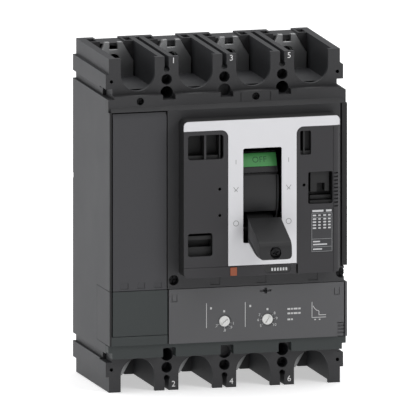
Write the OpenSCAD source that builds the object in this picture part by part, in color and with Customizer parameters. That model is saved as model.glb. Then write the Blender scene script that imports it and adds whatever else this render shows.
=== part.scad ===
// Four-pole molded case breaker with a thermal-magnetic trip unit.
// Depths are measured forward from the back mounting plane, which is Y = 0; the front faces -Y.

/* [Case] */
// Height over the terminal ends
case_h = 255; // [254:1:258]
// Width of the case body
case_w = 185; // [185:0.5:187]
// Width over the terminal ends
end_w = 180; // [178:0.5:181]
// Depth to the terminal faces
face_d = 95.5; // [95.5:0.1:95.7]
// Depth to the flat front covers
cover_d = 107; // [107:0.1:107.4]
// Depth to the raised nose
nose_d = 121.5; // [121:0.1:121.8]
/* [Terminals] */
// Width of a terminal plate
terminal_w = 31; // [28:0.5:32]
// Hole for the terminal bolt
terminal_hole = 10.5; // [9:0.5:11]
// Height of the terminal bolt's centre above mid-height
terminal_z = 113; // [112.5:0.5:113.5]
/* [Fixing] */
// Distance across between fixing holes
fixing_w = 90; // [90:0.1:90.2]
// Distance up between fixing holes
fixing_h = 200; // [199:0.5:200]
// Fixing hole
fixing_hole = 6; // [5:0.5:6.5]
// Counterbore for the fixing screw's head
fixing_head = 9.7; // [9:0.1:9.8]
/* [Toggle] */
// Width of the toggle
toggle_w = 25.3; // [24:0.1:25.6]
// Distance from the pivot to the toggle's tip
toggle_reach = 110.6; // [110:0.1:111]
// Angle of the toggle below level in the off position
toggle_droop = 23.5; // [22:0.5:24]
/* [Trip unit] */
// Diameter of the setting dials
dial = 8.1; // [7.8:0.1:8.1]
// Height of the push-to-trip button's face
button_h = 6.4; // [6:0.1:6.8]

/* [Hidden] */
$fn = 48;
POLES = ["n", "l1", "l2", "l3"];
POLE_X = [-67.5, -22.5, 22.5, 67.5];
function per_pole(word) = [for (p = POLES) str(word, "_", p)];

half_h = case_h / 2;
half_w = case_w / 2;
end_x = end_w / 2;
body_z = half_h - 12;              // where the wide body steps in to the terminal ends
wall = 4;
bay_half = 16.6;                   // half width of a terminal bay
bay_z = 101;                       // inner end of the terminal bays
bay_back = 20.9;
flange = 3.5;
slot_w = 3.3;                      // slot for a phase barrier
inner_z = 91;                      // half height of the inner chambers
inner_d = 58;                      // front of the walls between the poles
pole_half = 18.5;
rotor_z = 20;
rotor_d = 34;
journal_r = 12;
open_angle = 35;                   // the contact bridges stand open by this in the off position
running = 0.05;                    // radial clearance of a running fit
strip_z = [88, 99.5];              // upper edge of the main cover
unit_z = [-90.5, -48.5];           // trip unit, bottom and top
lower_z = -100.7;
split_x = -47.6;                   // joint between the neutral cover and the main cover
cover_left = split_x + 0.3;
cover_bottom = -48.3;
skin_x = half_w - 1.6;             // outer skin beside the front covers
right_skin_x = half_w - 4.1;       // the skin is wider on the right, above the screw
cover_right = right_skin_x - 1.2;
split_d = 25.1;                    // joint between the base and the middle case
nose_x = [-38.6, 83.5];
nose_z = [-38.3, 81.75];
pocket_d = 11.5;
mid_x = POLE_X[2];                 // the mechanism sits over this pole
window_x = [7.5, 37.6];
window_z = [-13.1, 59.2];
pivot_d = 60;
pivot_z = 26;
SPACERS = [[70, 8.7], [70, 43.3], [57, 10]]; // depth and height of the mechanism's spacers
shield_r = 57.5;
shield_x = [mid_x - 13.9, mid_x + 14.1];
extension_low = -45.95;            // lowest line of the extension below the pivot, in the off position
button_x = 0.15;
button_z = -34.4;
dial_z = -74.7;
long_dial_x = -3.05;
short_dial_x = 30.4;
bar_d = 78;
bar_z = -58;
rod_d = 64;                        // rod that the armatures hang on
rod_z = -81;
case_back = 60;
screw_x = [-42.6, 87.6];           // lower screws of the main cover
screw_z = -41.6;
CASE_SCREWS = [[-45, 62], [0, 62], [45, 62], [-45, -66], [0, -66], [45, -66]];

// Block given by its limits across, forward and up
module block(x, d, z) translate([x[0], -d[1], z[0]]) cube([x[1] - x[0], d[1] - d[0], z[1] - z[0]]);
// Round bar or bore running forward
module bar_y(x, z, dia, d) translate([x, -d[0], z]) rotate([90, 0, 0]) cylinder(d = dia, h = d[1] - d[0]);
// Round bar or bore running across
module bar_x(d, z, dia, x) translate([x[0], -d, z]) rotate([0, 90, 0]) cylinder(d = dia, h = x[1] - x[0]);
// Flat outline, drawn across and up, given a depth
module facing(d) translate([0, -d[0], 0]) rotate([90, 0, 0]) linear_extrude(d[1] - d[0]) children();
// Side outline, drawn forward and up, given a width
module sideways(x) rotate([90, 0, -90]) translate([0, 0, -x[1]]) linear_extrude(x[1] - x[0]) children();
module rounded(x, z, r) {
    translate([x[0] + r, z[0]]) square([x[1] - x[0] - 2 * r, z[1] - z[0]]);
    translate([x[0], z[0] + r]) square([x[1] - x[0], z[1] - z[0] - 2 * r]);
    for (cx = [x[0] + r, x[1] - r], cz = [z[0] + r, z[1] - r]) translate([cx, cz]) circle(r);
}
module both_ends() {
    children();
    mirror([0, 0, 1]) children();
}
// Frame turning about the toggle's pivot, drawn forward and up from it
module about_pivot(angle) translate([0, -pivot_d, pivot_z]) rotate([angle, 0, 0]) children();

// ---- Case ----

module bay_hollow(x) {
    block([x - bay_half, x + bay_half], [bay_back, face_d - flange], [bay_z, half_h + 1]);
    facing([face_d - flange - 1, face_d + 1]) {
        translate([x - 13.3, bay_z + 14.3]) square([26.6, 30]);
        translate([x, bay_z + 14.3]) circle(13.3);
    }
    // conductor slot into the chamber, and the pocket of the captive nut
    block([x - 15.9, x + 15.9], [bay_back, 25.1], [inner_z - 1, bay_z + 1]);
    facing([12, bay_back + 1]) translate([x - 9.4, terminal_z - 9.4]) square(18.8);
    // corner pockets and the lowered edge of the back wall
    for (side = [-1, 1]) block([x + side * 13.9 - 2.7, x + side * 13.9 + 2.7], [7, 18.5], [116, half_h + 1]);
    block([x - 9.5, x + 9.5], [-1, bay_back + 1], [half_h - 1.3, half_h + 1]);
    block([x - 8, x + 8], [80, 89], [95.5, bay_z + 1]);
}

// whole case, which is moulded in two depths
module case_shape() difference() {
    union() {
        block([-half_w, half_w], [0, face_d], [-body_z, body_z]);
        block([-end_x, end_x], [0, face_d], [-half_h, half_h]);
        block([-half_w, -skin_x], [face_d - 1, cover_d], [unit_z[1] + 0.2, strip_z[0] - 0.1]);
        block([right_skin_x, half_w], [face_d - 1, cover_d], [screw_z + 5.6, strip_z[0] - 0.1]);
    }
    both_ends() {
        for (x = POLE_X) bay_hollow(x);
        for (x = [-45, 0, 45]) {
            block([x - slot_w / 2, x + slot_w / 2], [8, face_d + 1], [118, half_h + 1]);
            bar_y(x, 118, 4.6, [8, face_d + 1]);
            bar_y(x, 110, 8.2, [face_d - 14, face_d + 1]);
        }
        for (side = [-1, 1]) {
            bar_y(side * fixing_w / 2, fixing_h / 2, fixing_head, [12, face_d + 1]);
            bar_y(side * fixing_w / 2, fixing_h / 2, fixing_hole, [-1, 13]);
            bar_y(side * 88, 110, 2.7, [face_d - 8, face_d + 1]);
            // grooves for a rail clip along the sides, deeper at the front
            block([side * half_w - 2.4, side * half_w + 2.4], [-1, face_d + 1], [97.4, 103.2]);
            block([side * half_w - 5, side * half_w + 5], [78, face_d + 1], [97.4, 104.4]);
        }
        bar_y(0, fixing_h / 2, fixing_head, [face_d - 6, face_d + 1]);
    }
    for (x = [POLE_X[0], POLE_X[2]]) bar_y(x, 95.4, 3.4, [76, face_d + 1]);
    // pole chambers, and the open space in front of them
    for (x = POLE_X) block([x - pole_half, x + pole_half], [6, inner_d + 1], [-inner_z, inner_z]);
    difference() {
        block([-half_w + wall, half_w - wall], [inner_d, face_d + 1], [-inner_z, inner_z]);
        for (x = screw_x) bar_y(x, screw_z, 6.4, [inner_d - 1, face_d]);
    }
    for (x = screw_x) bar_y(x, screw_z, 3.8, [inner_d + 8, face_d + 1]);
    // seats for the rotor journals
    bar_x(rotor_d, rotor_z, 2 * (journal_r + running), [-half_w + wall, half_w - wall]);
    block([-half_w + wall, half_w - wall], [rotor_d, inner_d + 1],
        [rotor_z - journal_r - running, rotor_z + journal_r + running]);
    // the trip unit's covers wrap round both sides
    for (side = [-1, 1]) block([side * half_w - wall, side * half_w + wall], [70, cover_d + 1], unit_z);
    // cable notch on the back edges
    for (side = [-1, 1]) block([side * half_w - 1.2, side * half_w + 1.2], [-1, 1.2], [21, 25]);
    // screws that hold the two mouldings together
    for (p = CASE_SCREWS) {
        bar_y(p[0], p[1], 7.6, [-1, 3.2]);
        bar_y(p[0], p[1], 3.6, [0, 41]);
    }
}
module base_case() color("#4b4c4d") intersection() {
    case_shape();
    block([-half_w - 1, half_w + 1], [-1, split_d], [-half_h - 1, half_h + 1]);
}
module middle_case() color("#4b4c4d") intersection() {
    case_shape();
    block([-half_w - 1, half_w + 1], [split_d, cover_d + 1], [-half_h - 1, half_h + 1]);
}
module case_screws() color("#b9b9b4") for (p = CASE_SCREWS) difference() {
    union() {
        bar_y(p[0], p[1], 7, [0.6, 3]);
        bar_y(p[0], p[1], 3.4, [2.5, 40]);
    }
    block([p[0] - 0.6, p[0] + 0.6], [0, 1.8], [p[1] - 2.8, p[1] + 2.8]);
    block([p[0] - 2.8, p[0] + 2.8], [0, 1.8], [p[1] - 0.6, p[1] + 0.6]);
}

module main_cover() color("#4a4b4c") difference() {
    union() {
        block([cover_left, cover_right], [cover_d - 3.5, cover_d], [cover_bottom, strip_z[0]]);
        block([cover_left, skin_x - 0.9], [cover_d - 3.5, cover_d], [cover_bottom, screw_z + 5]);
        // rim behind the plate
        block([cover_left, cover_left + 3], [face_d + 0.1, cover_d - 3], [cover_bottom, strip_z[0] + 1]);
        block([cover_right - 3, cover_right], [face_d + 0.1, cover_d - 3], [cover_bottom, strip_z[0] + 1]);
        block([cover_left, skin_x - 0.9], [face_d + 0.1, cover_d - 3], [cover_bottom, cover_bottom + 2.8]);
        // bosses of the lower screws
        for (x = screw_x) intersection() {
            bar_y(x, screw_z, 10.4, [face_d + 0.1, cover_d - 3]);
            block([cover_left, skin_x - 0.9], [face_d, cover_d], [cover_bottom, screw_z + 5]);
        }
        // edge strip above all four poles, with a sloping lower edge
        block([-half_w, half_w], [face_d + 0.1, cover_d - 4], strip_z);
        sideways([-skin_x, skin_x]) polygon([
            [face_d + 0.1, strip_z[0]], [cover_d - 0.6, strip_z[0]],
            [cover_d - 4, strip_z[0] + 3.4], [face_d + 0.1, strip_z[0] + 3.4]]);
    }
    for (x = [-45, 0, 45]) block([x - 4.9, x + 4.9], [face_d - 1, cover_d + 1], [95.8, strip_z[1] + 1]);
    for (side = [-1, 1])
        block([side * half_w - 5, side * half_w + 5], [face_d - 1, cover_d + 1], [97.4, 100]);
    for (x = [POLE_X[0], POLE_X[2]]) {
        bar_y(x, 95.4, 5.8, [face_d + 2, cover_d + 1]);
        bar_y(x, 95.4, 3.6, [face_d - 1, cover_d]);
    }
    // shallow frames round the middle cover screw
    for (x = [10.5, 33.5]) block([x, x + 0.6], [cover_d - 4.5, cover_d + 1], [92, 98.6]);
    for (x = screw_x) {
        bar_y(x, screw_z, 7.8, [face_d + 5, cover_d + 1]);
        bar_y(x, screw_z, 4.2, [face_d - 1, cover_d]);
    }
    // opening for the mechanism, and the guide of the push-to-trip button
    block([window_x[0] - 4, window_x[1] + 4], [face_d - 1, cover_d + 1],
        [window_z[0] - 12.5, window_z[1] + 13.5]);
    bar_y(button_x, button_z, 4 + 2 * running, [face_d - 1, cover_d + 1]);
    // shallow marks along the lower edge
    for (x = [-14, 22, 62]) block([x, x + 7.5], [cover_d - 0.4, cover_d + 1], [-46.5, -40.5]);
}

module neutral_cover() color("#4a4b4c") difference() {
    block([-skin_x + 0.9, split_x - 0.4], [face_d + 0.1, cover_d], [unit_z[1] + 0.2, strip_z[0] - 1]);
    block([-skin_x + 3.4, split_x - 2.9], [face_d - 1, cover_d - 3], [unit_z[1] + 2.7, strip_z[0] - 3.5]);
    // bevelled top edge
    sideways([-half_w, split_x]) polygon([[cover_d - 1.6, strip_z[0]], [cover_d + 1, strip_z[0]],
        [cover_d + 1, strip_z[0] - 4.5], [cover_d, strip_z[0] - 4.5], [cover_d - 1.6, strip_z[0] - 2]]);
    // row of three shallow finger marks at the bottom
    for (x = [-84, -71, -58]) block([x, x + 6], [cover_d - 0.5, cover_d + 1], [-46.8, -42.4]);
}

module lower_cover() color("#464a4a") difference() {
    block([-half_w, half_w], [face_d + 0.1, cover_d - 3.5], [lower_z, unit_z[0] - 0.2]);
    for (side = [-1, 1])
        block([side * half_w - 3, side * half_w + 3], [face_d - 1, cover_d], [lower_z - 1, -96.2]);
    for (x = [-45, 0, 45]) block([x - 4.9, x + 4.9], [face_d - 1, cover_d], [lower_z - 1, -93.6]);
    bar_y(0, -fixing_h / 2, fixing_head, [face_d - 1, cover_d]);
    for (x = [-45, 45]) bar_y(x, -fixing_h / 2, fixing_head, [face_d - 1, cover_d]);
}

module nose_pocket(x, z, r) facing([nose_d - pocket_d, nose_d + 1]) rounded(x, z, r);
// solid left standing in a pocket, set back from the front
module pocket_part(x, z, back) block(x, [nose_d - pocket_d - 0.5, nose_d - back], z);

module nose_cover() color("#424243") difference() {
    facing([cover_d + 0.1, nose_d]) rounded(nose_x, nose_z, 4);
    // hollow inside, stopping short of the front wall and the pockets
    facing([cover_d - 1, nose_d - 3]) rounded([window_x[0] - 6, window_x[1] + 6], [-28, 78], 3);
    // toggle window, with a step round it
    facing([cover_d, nose_d + 1]) rounded([window_x[0] - 0.4, window_x[1] + 0.4],
        [window_z[0] - 0.4, window_z[1] + 0.4], 1.5);
    // seat of the escutcheon
    facing([nose_d - 0.8, nose_d + 1]) escutcheon_outline(0.1);
    // accessory windows, each with its own partitions
    difference() {
        nose_pocket([-35.4, -7.7], [52, 70.7], 2.3);
        pocket_part([-22.7, -21.1], [52, 70.7], 0.3);
        pocket_part([-10.6, -9.6], [52, 70.7], 2);
        pocket_part([-35.4, -9.6], [52, 54.6], 3.5);
    }
    difference() {
        nose_pocket([-35.4, -16.3], [-21.8, -4.2], 2);
        pocket_part([-35.4, -16.3], [-9.7, -6.7], 4);
        pocket_part([-35.4, -16.3], [-21.8, -15.3], 5);
    }
    difference() {
        nose_pocket([52, 60.5], [52.3, 70.6], 1.2);
        pocket_part([54.7, 56], [52.3, 70.6], 1.5);
        pocket_part([55, 60.5], [52.3, 70.6], 6);
        pocket_part([52, 60.5], [52.3, 55], 2.5);
    }
    difference() {
        nose_pocket([58.3, 77.3], [14.4, 38.9], 1.5);
        difference() {
            pocket_part([61, 75.6], [23.1, 38.9], 4);
            pocket_part([65.9, 72.1], [20, 29.6], 2);
        }
        pocket_part([61, 77.3], [17, 20], 6);
        pocket_part([60, 77.3], [14.4, 16.6], 2.5);
    }
    for (p = [[-10.6, 29], [-10.6, 8.9], [55, 29.2]]) bar_y(p[0], p[1], 2.3, [nose_d - 5, nose_d + 1]);
    // recesses of the plates, and the button's hole
    facing([nose_d - 0.5, nose_d + 1]) rounded([60.4, 77.5], [-22.7, 10.7], 1);
    facing([nose_d - 0.8, nose_d + 1]) rounded([24, 44.6], [-36.8, -31.6], 2.5);
    block([button_x - 2.7, button_x + 2.7], [nose_d - 10, nose_d + 1],
        [button_z - button_h / 2 - 0.1, button_z + button_h / 2 + 0.1]);
    block([button_x - 4.3, button_x + 4.3], [cover_d - 1, nose_d - 3.5], [button_z - 3.9, button_z + 3.9]);
    block([48.8, 50.2], [nose_d - 3, nose_d + 1], [nose_z[0] - 1, -31]);
    // lower step of the strip under the escutcheon
    block([nose_x[0] - 1, 48.8], [nose_d - 0.3, nose_d + 1], [-30.6, -30.2]);
    // rounded right edge
    difference() {
        block([nose_x[1] - 4, nose_x[1] + 1], [nose_d - 4, nose_d + 1], [nose_z[0] - 1, 73.9]);
        translate([nose_x[1] - 4, -nose_d + 4, nose_z[0] - 2]) cylinder(r = 4, h = 130);
    }
    // hatched grip beside the large window
    for (i = [0 : 9]) block([78.4, 81.6], [nose_d - 1.6, nose_d + 1], [11.6 + 2.8 * i, 12.8 + 2.8 * i]);
    // groove along the rounded edge
    block([77.6, 78.1], [nose_d - 0.3, nose_d + 1], [nose_z[0] - 1, 73.8]);
}

module escutcheon_outline(gap) difference() {
    union() {
        rounded([nose_x[0] - gap, nose_x[1] - 0.4 + gap], [74 - gap, nose_z[1] - 0.4 + gap], 3.6);
        translate([nose_x[0] - gap, 74 - gap]) square([nose_x[1] - nose_x[0] - 0.4 + 2 * gap, 3]);
        translate([-4.1 - gap, -30 - gap]) square([53.2 + 2 * gap, 106]);
        for (x = [mid_x - 32.1 - gap, mid_x + 26.2 + gap]) translate([x, 68.5 - gap]) square(5.9);
    }
    for (side = [-1, 1]) translate([mid_x + side * (32.1 + gap), 68.5 - gap]) circle(5.5);
}

module escutcheon() color("#e3e3e5") difference() {
    facing([nose_d - 0.7, nose_d + 0.5]) escutcheon_outline(0);
    facing([nose_d - 2, nose_d + 2]) rounded(window_x, window_z, 1.5);
    // outer end follows the nose's rounded edge
    block([nose_x[1] - 2.4, nose_x[1] + 1], [nose_d - 0.4, nose_d + 2], [70, 90]);
}

module rating_plate() color("#58595a") facing([nose_d - 0.5, nose_d - 0.1])
    rounded([60.5, 77.4], [-22.6, 10.6], 0.9);
module name_plate() color("#2a2a2b") facing([nose_d - 0.8, nose_d - 0.3])
    rounded([24.1, 44.5], [-36.7, -31.7], 2.4);

module cover_screw(x, z, head, seat, shank, tip) difference() {
    union() {
        bar_y(x, z, head, [seat, seat + 2.4]);
        bar_y(x, z, shank, [tip, seat + 1]);
    }
    block([x - head / 2, x + head / 2], [seat + 1.3, seat + 3], [z - 0.5, z + 0.5]);
    block([x - 0.5, x + 0.5], [seat + 1.3, seat + 3], [z - head / 2, z + head / 2]);
}
module cover_screws() color("#2c2c2d") for (x = [POLE_X[0], POLE_X[2]])
    cover_screw(x, 95.4, 5.4, face_d + 2, 3.2, 80);
module lower_cover_screws() color("#161617") for (x = screw_x)
    cover_screw(x, screw_z, 7.2, face_d + 5, 3.6, inner_d + 10);

module terminal_nuts() color("#a8a6a0") both_ends() for (x = POLE_X) difference() {
    translate([x, -12.4, terminal_z]) rotate([90, 0, 0]) rotate(30) cylinder(d = 18.4, h = 8.3, $fn = 6);
    bar_y(x, terminal_z, 8.6, [11, 22]);
}

// ---- Current path ----

module terminal_end(x) difference() {
    facing([21, 25]) difference() {
        polygon([
            [x - terminal_w / 2, bay_z - 12], [x + terminal_w / 2, bay_z - 12],
            [x + terminal_w / 2, terminal_z], [x + 6.6, half_h],
            [x - 6.6, half_h], [x - terminal_w / 2, terminal_z]]);
        translate([x - 3.1, half_h - 5.7]) square([6.2, 7]);
    }
    bar_y(x, terminal_z, terminal_hole, [20, 26]);
}

module upper_terminal(x) color("#b8b7b2") {
    terminal_end(x);
    block([x - 8, x + 8], [21, 25], [50, bay_z - 11]);
    block([x - 6, x + 6], [24.5, 28], [51, 61]);
}

module lower_terminal(x) color("#b8b7b2") {
    mirror([0, 0, 1]) terminal_end(x);
    block([x - 8, x + 8], [21, 47], [-89.5, -85.5]);
    block([x - 8, x + 8], [43, 47], [-89.5, -10]);
    block([x - 6, x + 6], [40, 43.5], [-21, -11]);
}

module arc_chute(x) color("#8d8f90") {
    for (i = [0 : 5]) difference() {
        block([x - 15, x + 15], [30 + 4.5 * i, 31.5 + 4.5 * i], [64, 88]);
        facing([0, inner_d]) polygon([[x - 5, 63], [x + 5, 63], [x + 1.5, 76], [x - 1.5, 76]]);
    }
    for (side = [-1, 1]) block([x + side * 15.8 - 0.8, x + side * 15.8 + 0.8], [28.5, 56], [64, 88]);
    for (i = [0 : 5]) difference() {
        block([x - 15, x + 15], [9 + 4.5 * i, 10.5 + 4.5 * i], [-50, -25]);
        facing([0, inner_d]) polygon([[x - 5, -24], [x + 5, -24], [x + 1.5, -38], [x - 1.5, -38]]);
    }
    for (side = [-1, 1]) block([x + side * 15.8 - 0.8, x + side * 15.8 + 0.8], [7.5, 35], [-50, -25]);
}

// ---- Contact rotors, drawn closed and turned open ----

module about_rotor() translate([0, -rotor_d, rotor_z]) rotate([open_angle, 0, 0]) children();

module rotor(x) color("#6b4a3a") about_rotor() difference() {
    union() {
        translate([x - 15, 0, 0]) rotate([0, 90, 0]) cylinder(r = 17.5, h = 30);
        translate([x - 20.9, 0, 0]) rotate([0, 90, 0]) cylinder(r = journal_r, h = 41.8);
    }
    translate([x - 7.2, -3.1, -20]) cube([14.4, 6.2, 40]);
    for (y = [-8, 8]) translate([x - 23, y, 0]) rotate([0, 90, 0]) cylinder(d = 5, h = 46);
}

module contact_bridge(x) color("#b87a4c") about_rotor() {
    translate([x - 7, -3, -41]) cube([14, 6, 82]);
    translate([x - 5, 2.5, 31.5]) cube([10, 3.4, 9.2]);
    translate([x - 5, -5.9, -40.7]) cube([10, 3.4, 9.2]);
}

module rotor_rods() color("#9c9c98") about_rotor() for (y = [-8, 8])
    translate([POLE_X[0] - 20, y, 0]) rotate([0, 90, 0]) cylinder(d = 5, h = 175);

// ---- Mechanism ----

module mechanism_frame() color("#8f9294") for (side = [-1, 1]) difference() {
    sideways([mid_x + side * 17.5 - 1, mid_x + side * 17.5 + 1])
        polygon([[53, 2], [90, 2], [90, 44], [80, 52], [62, 52], [53, 46]]);
    bar_x(pivot_d, pivot_z, 6, [mid_x - 20, mid_x + 20]);
    for (p = SPACERS) bar_x(p[0], p[1], 4, [mid_x - 20, mid_x + 20]);
    bar_x(80, pivot_z, 12, [mid_x - 20, mid_x + 20]);
}

module mechanism_spacers() color("#b9b9b4") for (p = SPACERS)
    bar_x(p[0], p[1], 4, [mid_x - 18.4, mid_x + 18.4]);

module toggle_pivot_pin() color("#c4c4c0") bar_x(pivot_d, pivot_z, 6, [mid_x - 18.4, mid_x + 18.4]);

// drawn level and turned down to the off position
module toggle_yoke() color("#7f8284") about_pivot(toggle_droop) {
    for (side = [-1, 1]) difference() {
        sideways([mid_x + side * 11.5 - 1, mid_x + side * 11.5 + 1]) {
            circle(7);
            translate([0, -4]) square([24, 8]);
        }
        bar_x(0, 0, 6 + 2 * running, [0, 45]);
    }
    block([mid_x - 12.5, mid_x + 12.5], [22, 24], [-4, 4]);
}

// sector of a drum round the pivot, from one angle to another above level
module drum_part(x, r, angles) sideways(x) intersection() {
    difference() {
        circle(r[1], $fn = 120);
        circle(r[0], $fn = 120);
    }
    polygon([[0, 0], for (a = [angles[0], (angles[0] + angles[1]) / 2, angles[1]])
        2 * r[1] * [cos(a), sin(a)]]);
}

// shield over the window: raised in the middle, lower where the flags are let in
module toggle_shield() color("#3a3b3d") about_pivot(toggle_droop) difference() {
    union() {
        for (s = [-1, 1]) {
            drum_part(shield_x, [shield_r - 4.4, shield_r], s > 0 ? [6.8, 37] : [-37, -6.8]);
            drum_part(shield_x, [shield_r - 2.4, shield_r - 1], s > 0 ? [36, 54] : [-54, -36]);
        }
        for (x = shield_x) drum_part(x < mid_x ? [x, x + 1.4] : [x - 1.4, x], [26, shield_r - 1], [-54, 54]);
        // boss that clips over the yoke's front bar
        block(shield_x, [24, 34], [-5.8, 5.8]);
    }
    block([mid_x - 12.1, mid_x + 12.1], [34.2, shield_r + 1], [-6.6, 6.6]);
    // groove below the flag, and the line beside the rim
    for (a = [35, -37]) drum_part([0, 45], [shield_r - 3, shield_r + 1], [a, a + 2]);
    drum_part([shield_x[1] - 2.1, shield_x[1] - 1.4], [shield_r - 1.6, shield_r + 1], [-60, 60]);
}

// stem that carries the extension
module toggle_lever() color("#2a2a2b") about_pivot(toggle_droop) difference() {
    union() {
        block([mid_x - 10, mid_x + 10], [34.2, 72], [-5, 3]);
        block([mid_x - 7.5, mid_x + 7.5], [66, 97], [-3.5, 6.5]);
    }
    lever_axis([84, 98]) cylinder(d = 3, h = 14);
}

// Line through the extension's screw, running outward along the toggle
module lever_axis(d) translate([mid_x, -d[0], 3]) rotate([90, 0, 0]) children();

module toggle_extension() color("#3e3f41") about_pivot(toggle_droop) difference() {
    intersection() {
        sideways([mid_x - toggle_w / 2, mid_x + toggle_w / 2]) polygon([
            [69.8, 9.3], [toggle_reach - 8.6, 9.3], [toggle_reach - 6.5, 8.7], [toggle_reach - 4.8, 7.5],
            [toggle_reach - 3.7, 5.9], [toggle_reach - 3, 4.5], [toggle_reach, -1.4],
            [toggle_reach - 1.4, -3.3], [toggle_reach - 4.4, -3.9], [79, -6.8], [76.3, -8]]);
        // rounded lower corners, seen from straight in front in the off position
        rotate([-toggle_droop, 0, 0]) facing([50, 120])
            rounded([mid_x - toggle_w / 2, mid_x + toggle_w / 2], [extension_low, extension_low + 40], 3.6);
    }
    block([mid_x - 7.55, mid_x + 7.55], [60, 97.1], [-3.55, 6.55]);
    block([mid_x - 10.05, mid_x + 10.05], [60, 72.1], [-5.05, 3.05]);
    lever_axis([97]) cylinder(d = 3.4, h = 20);
    lever_axis([toggle_reach - 4.4]) cylinder(d = 8.6, h = 9);
    // grooves along both flanks
    for (side = [-1, 1]) sideways([mid_x + side * toggle_w / 2 - 0.5, mid_x + side * toggle_w / 2 + 0.5])
        polygon([[74, -5.2], [toggle_reach - 3, -2.2], [toggle_reach - 3, -1.3], [74, -4.3]]);
}

module toggle_screw() color("#6a6b6d") about_pivot(toggle_droop) lever_axis([86]) difference() {
    union() {
        cylinder(d = 2.9, h = toggle_reach - 90);
        translate([0, 0, toggle_reach - 90.3]) cylinder(d = 7.2, h = 1.9);
    }
    for (turn = [0, 90]) rotate(turn + 20) translate([-2.3, -0.5, toggle_reach - 89.6]) cube([4.6, 1, 3]);
}

module off_flag() color("#4f9a5a") about_pivot(toggle_droop)
    drum_part([mid_x - 13.3, mid_x + 13.3], [shield_r - 0.95, shield_r], [41.5, 52]);
module on_flag() color("#b33a30") about_pivot(toggle_droop)
    drum_part([mid_x - 13.3, mid_x + 13.3], [shield_r - 0.95, shield_r], [-52, -41.5]);

// ---- Trip unit ----

module unit_wrap(side, x_inner) {
    // side wall that wraps back along the case
    height = [unit_z[0] + 0.2, unit_z[1] - 0.2];
    block(side < 0 ? [-half_w, -skin_x] : [skin_x, half_w], [70.2, cover_d], height);
    block(side < 0 ? [-half_w, -half_w + 3.8] : [half_w - 3.8, half_w], [70.2, cover_d - 4], height);
    block(side < 0 ? [-half_w, x_inner] : [x_inner, half_w], [cover_d - 6, cover_d - 3], height);
}

module trip_unit_case() color("#2f3031") difference() {
    block([-87, 87], [case_back, cover_d - 6.2], [unit_z[0] + 1, unit_z[1] - 1]);
    block([-84.5, 84.5], [case_back - 1, cover_d - 8.5], [unit_z[0] + 3.5, unit_z[1] - 3.5]);
    bar_x(bar_d, bar_z, 8 + 2 * running, [-90, 90]);
    bar_x(rod_d, rod_z, 3 + 2 * running, [-90, 90]);
    bar_y(long_dial_x, dial_z, 4.6, [cover_d - 10, cover_d]);
    bar_y(short_dial_x, dial_z, 4.6, [cover_d - 10, cover_d]);
}

module trip_unit_cover() color("#5d5d5e") difference() {
    union() {
        block([split_x + 1.3, skin_x - 0.9], [cover_d - 3.5, cover_d], [unit_z[0] + 0.2, unit_z[1] - 0.2]);
        block([split_x + 1.3, skin_x - 0.9], [cover_d - 6, cover_d - 3], [unit_z[0] + 0.2, unit_z[0] + 2.4]);
        unit_wrap(1, skin_x - 4);
    }
    for (x = [long_dial_x, short_dial_x]) {
        bar_y(x, dial_z, dial + 2 * running, [cover_d - 7, cover_d + 1]);
        bar_y(x, dial_z, dial + 2.4, [cover_d - 0.5, cover_d + 1]);
    }
    // cross-shaped recess of the sealing screw
    block([24.6, 33.4], [cover_d - 1.6, cover_d + 1], [-53.5, -51.9]);
    block([28, 30], [cover_d - 1.6, cover_d + 1], [-54.9, -50.5]);
    bar_y(29, -52.7, 3, [cover_d - 7, cover_d + 1]);
    // outlines of the two snap tabs
    for (x = [-44.2, 82.2]) difference() {
        block([x, x + 4.4], [cover_d - 0.6, cover_d + 1], [-58.4, -53]);
        block([x + 0.6, x + 3.8], [cover_d - 2, cover_d + 2], [-57.8, -52]);
    }
    // ribbed notch at the lower right corner
    difference() {
        block([85, half_w - 1.6], [cover_d - 1.8, cover_d + 1], [unit_z[0], -79.5]);
        for (i = [0 : 3]) translate([0, 0, unit_z[0] + 2.6 * i])
            block([85, half_w], [cover_d - 3, cover_d - 0.9], [1.2, 2.4]);
    }
}

module trip_unit_neutral_cover() color("#464a4a") {
    right = split_x + 0.2;
    block([-skin_x + 0.9, right], [cover_d - 3.5, cover_d - 0.4], [unit_z[0] + 7.5, unit_z[1] - 0.2]);
    block([-skin_x - 0.5, right], [cover_d - 3.5, cover_d - 0.2], [unit_z[0] + 0.2, unit_z[0] + 7.2]);
    block([-skin_x + 0.9, right], [cover_d - 5, cover_d - 3], [unit_z[0] + 0.2, unit_z[1] - 0.2]);
    unit_wrap(-1, -skin_x + 4);
}

module sealing_screw() color("#1d1d1e") difference() {
    bar_y(29, -52.7, 2.8, [cover_d - 5.5, cover_d - 0.9]);
    block([27, 31], [cover_d - 1.5, cover_d], [-53, -52.4]);
}

module bimetals() color("#b9a06a") for (x = POLE_X) {
    block([x - 4, x + 4], [47, 50], [-36, -30]);
    block([x - 4, x + 4], [49.5, 51.2], [-59, -30]);
}

module magnet_yokes() color("#6f7274") for (x = POLE_X) difference() {
    block([x - 11, x + 11], [38.5, 59.5], [-76, -62]);
    block([x - 8.3, x + 8.3], [41.5, 60.5], [-77, -61]);
}

module armature(x) color("#808385") difference() {
    union() {
        block([x - 10, x + 10], [rod_d - 1, rod_d + 1], [rod_z, -63]);
        bar_x(rod_d, rod_z, 5.4, [x - 10, x + 10]);
    }
    bar_x(rod_d, rod_z, 3 + 2 * running, [x - 11, x + 11]);
}

module armature_rod() color("#b9b9b4") bar_x(rod_d, rod_z, 3, [-86.5, 86.5]);

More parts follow.
